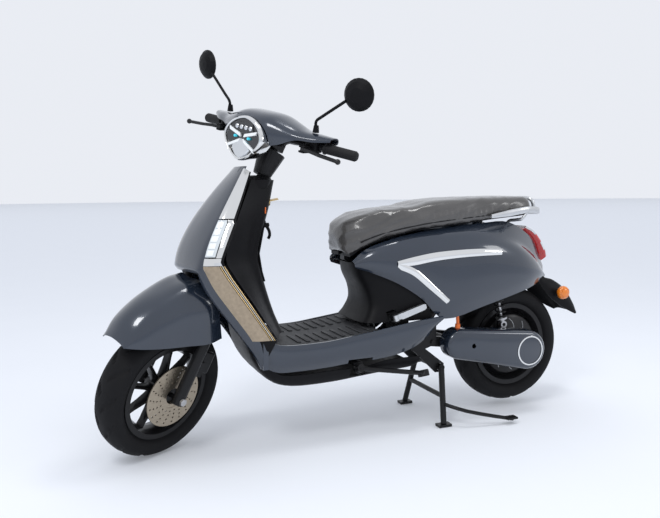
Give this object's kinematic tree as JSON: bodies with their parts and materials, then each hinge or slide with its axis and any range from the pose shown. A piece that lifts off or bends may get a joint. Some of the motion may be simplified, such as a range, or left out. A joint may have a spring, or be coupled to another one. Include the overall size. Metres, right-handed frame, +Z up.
{
  "type": "moped scooter",
  "caption": "Step-through electric moped scooter on its centre stand, with a wide leg shield, long seat, hub motor and turned handlebar.",
  "frame": {"origin": "bottom centre of the whole object's box, on the ground under the middle of the scooter", "axes": "+X forward, +Y to the rider's left, +Z up"},
  "size_m": [1.8966, 0.6726, 1.3696],
  "materials": {
    "black_plastic": "grained",
    "battery_case": "grained",
    "black_steel": "satin black",
    "disc_steel": "brushed, slightly bronze",
    "lever_alloy": "satin black",
    "floor_mat": "grained",
    "body_paint": "glossy blue-grey",
    "black_alloy": "satin black",
    "clear_lens": "clear",
    "tyre": "matt",
    "silver_alloy": "satin silver",
    "lamp_chrome": "mirror, dark lens",
    "button_plastic": "matt",
    "key_brass": "worn",
    "grip_rubber": "matt",
    "orange_cable": "matt",
    "chrome": "mirror",
    "amber_lens": "glossy",
    "seat_film": "grey cover under clear film",
    "bare_steel": "bright",
    "red_lens": "glossy"
  },
  "bodies": {
    "bag_hook": {"bag_hook": "black_plastic"},
    "body": {"battery_pack": "battery_case", "belly_pan": "black_plastic", "floorboard": "floor_mat", "front_signal_left": "clear_lens", "front_signal_right": "clear_lens", "grab_rail": "silver_alloy", "inner_shield": "black_plastic", "leg_shield": "body_paint", "main_frame": "black_steel", "panel_trim_left": "chrome", "panel_trim_right": "chrome", "rear_mudguard": "black_plastic", "rear_panel_left": "body_paint", "rear_panel_right": "body_paint", "rear_signal_left": "amber_lens", "rear_signal_right": "amber_lens", "seat_front_cover": "black_plastic", "shield_trim_left": "chrome", "shield_trim_right": "chrome", "side_skirt_left": "body_paint", "side_skirt_right": "body_paint", "tail_light": "red_lens"},
    "fork": {"brake_caliper": "black_steel", "fork_sliders": "black_steel"},
    "front_wheel": {"brake_disc": "disc_steel", "front_rim": "black_alloy", "front_tyre": "tyre"},
    "brake_lever_left": {"brake_lever_left": "lever_alloy"},
    "brake_lever_right": {"brake_lever_right": "lever_alloy"},
    "centre_stand": {"centre_stand": "black_steel"},
    "footrest_left": {"footrest_left": "black_steel"},
    "footrest_right": {"footrest_right": "black_steel"},
    "steering": {"front_fender": "body_paint", "handlebar": "black_steel", "handlebar_cowl": "body_paint", "headlight": "lamp_chrome", "left_grip": "grip_rubber", "steering_stem": "black_steel", "switch_housing_left": "black_plastic", "switch_housing_right": "black_plastic"},
    "glovebox_door": {"glovebox_door": "black_plastic"},
    "horn": {"horn_button": "button_plastic"},
    "key": {"ignition_key": "key_brass"},
    "mirror_left": {"mirror_left": "black_plastic"},
    "mirror_right": {"mirror_right": "black_plastic"},
    "swingarm": {"motor_cable": "orange_cable", "swingarm": "black_steel", "swingarm_cover": "body_paint"},
    "rear_wheel": {"rear_hub_motor": "black_alloy", "rear_tyre": "tyre"},
    "seat": {"seat_base": "black_plastic", "seat_cushion": "seat_film"},
    "shock_body_left": {"shock_body_left": "black_steel"},
    "shock_body_right": {"shock_body_right": "black_steel"},
    "shock_rod_left": {"shock_rod_left": "bare_steel"},
    "shock_rod_right": {"shock_rod_right": "bare_steel"},
    "side_stand": {"side_stand": "black_steel"},
    "signal_switch": {"signal_switch": "button_plastic"},
    "throttle": {"throttle_grip": "grip_rubber"}
  },
  "joints": [
    {"name": "steering", "type": "hinge", "parent": "body", "child": "steering", "pos_m": [0.45301, -0.05309, 0.76], "axis": [-0.4384, 0, 0.8988], "range_deg": [-76, 6]},
    {"name": "fork_slide", "type": "slide", "parent": "steering", "child": "fork", "axis": [-0.4384, 0, 0.8988], "range_m": [0, 0.05], "stiffness_N_per_m": 6000, "springref_m": -0.05},
    {"name": "front_wheel_spin", "type": "hinge", "parent": "fork", "child": "front_wheel", "pos_m": [0.73945, -0.03766, 0.22489], "axis": [-0.5026, 0.829, -0.2451], "continuous": true},
    {"name": "swingarm_pivot", "type": "hinge", "parent": "body", "child": "swingarm", "pos_m": [-0.23531, -0.05309, 0.309], "axis": [0, 1, 0], "range_deg": [0, 9], "stiffness_Nm_per_rad": 900, "springref_deg": -6.88},
    {"name": "rear_wheel_spin", "type": "hinge", "parent": "swingarm", "child": "rear_wheel", "pos_m": [-0.63131, -0.05309, 0.251], "axis": [0, 1, 0], "continuous": true},
    {"name": "seat_hinge", "type": "hinge", "parent": "body", "child": "seat", "pos_m": [0.06869, -0.05309, 0.64], "axis": [0, 1, 0], "range_deg": [0, 60]},
    {"name": "centre_stand_pivot", "type": "hinge", "parent": "body", "child": "centre_stand", "pos_m": [-0.28131, -0.05309, 0.205], "axis": [0, 1, 0], "range_deg": [0, 70]},
    {"name": "side_stand_pivot", "type": "hinge", "parent": "body", "child": "side_stand", "pos_m": [0.08069, 0.10991, 0.256], "axis": [0.0576, -0.9436, -0.3259], "range_deg": [0, 95]},
    {"name": "footrest_left_fold", "type": "hinge", "parent": "body", "child": "footrest_left", "pos_m": [-0.05331, 0.11692, 0.424], "axis": [-0.29, 0, -0.957], "range_deg": [0, 85]},
    {"name": "footrest_right_fold", "type": "hinge", "parent": "body", "child": "footrest_right", "pos_m": [-0.05331, -0.22309, 0.424], "axis": [0.29, 0, 0.957], "range_deg": [0, 85]},
    {"name": "throttle_twist", "type": "hinge", "parent": "steering", "child": "throttle", "pos_m": [0.45921, -0.22166, 1.11542], "axis": [0.2949, -0.9315, 0.2129], "range_deg": [0, 75], "stiffness_Nm_per_rad": 0.3, "springref_deg": -17.19},
    {"name": "brake_lever_left_pivot", "type": "hinge", "parent": "steering", "child": "brake_lever_left", "pos_m": [0.2952, 0.15338, 0.9986], "axis": [-0.0674, 0.2451, 0.9671], "range_deg": [0, 18], "stiffness_Nm_per_rad": 2, "springref_deg": -8.59},
    {"name": "brake_lever_right_pivot", "type": "hinge", "parent": "steering", "child": "brake_lever_right", "pos_m": [0.48819, -0.16497, 1.09273], "axis": [0.0674, -0.2451, -0.9671], "range_deg": [0, 18], "stiffness_Nm_per_rad": 2, "springref_deg": -8.59},
    {"name": "horn_press", "type": "slide", "parent": "steering", "child": "horn", "axis": [0.8619, 0.5026, -0.0674], "range_m": [0, 0.0025], "stiffness_N_per_m": 200, "springref_m": -0.001},
    {"name": "signal_slide", "type": "slide", "parent": "steering", "child": "signal_switch", "axis": [-0.5026, 0.829, -0.2451], "range_m": [-0.006, 0.006]},
    {"name": "mirror_left_swivel", "type": "hinge", "parent": "steering", "child": "mirror_left", "pos_m": [0.2499, 0.14682, 1.05294], "axis": [-0.0674, 0.2451, 0.9671], "range_deg": [-30, 30]},
    {"name": "mirror_right_swivel", "type": "hinge", "parent": "steering", "child": "mirror_right", "pos_m": [0.44692, -0.17817, 1.14903], "axis": [-0.0674, 0.2451, 0.9671], "range_deg": [-30, 30]},
    {"name": "key_turn", "type": "hinge", "parent": "body", "child": "key", "pos_m": [0.36269, -0.02309, 0.835], "axis": [-0.9645, 0.1867, 0.1867], "range_deg": [0, 90]},
    {"name": "glovebox_door_hinge", "type": "hinge", "parent": "body", "child": "glovebox_door", "pos_m": [0.37619, -0.05309, 0.566], "axis": [0, -1, 0], "range_deg": [0, 70]},
    {"name": "bag_hook_fold", "type": "hinge", "parent": "glovebox_door", "child": "bag_hook", "pos_m": [0.36092, -0.05309, 0.752], "axis": [0, 1, 0], "range_deg": [0, 70]},
    {"name": "shock_left_top", "type": "hinge", "parent": "body", "child": "shock_body_left", "pos_m": [-0.50631, 0.03191, 0.6], "axis": [0, 1, 0], "range_deg": [0, 0.5]},
    {"name": "shock_left_slide", "type": "slide", "parent": "shock_body_left", "child": "shock_rod_left", "axis": [0.2108, 0, 0.9775], "range_m": [0, 0.0515]},
    {"name": "shock_right_top", "type": "hinge", "parent": "body", "child": "shock_body_right", "pos_m": [-0.50631, -0.13809, 0.6], "axis": [0, 1, 0], "range_deg": [0, 0.5]},
    {"name": "shock_right_slide", "type": "slide", "parent": "shock_body_right", "child": "shock_rod_right", "axis": [0.2108, 0, 0.9775], "range_m": [0, 0.0515]}
  ],
  "couplings": [
    {"joint": "shock_left_top", "follows": "swingarm_pivot", "ratio": 0.055},
    {"joint": "shock_left_slide", "follows": "swingarm_pivot", "m_per_rad": 0.3275},
    {"joint": "shock_right_top", "follows": "swingarm_pivot", "ratio": 0.055},
    {"joint": "shock_right_slide", "follows": "swingarm_pivot", "m_per_rad": 0.3275}
  ]
}
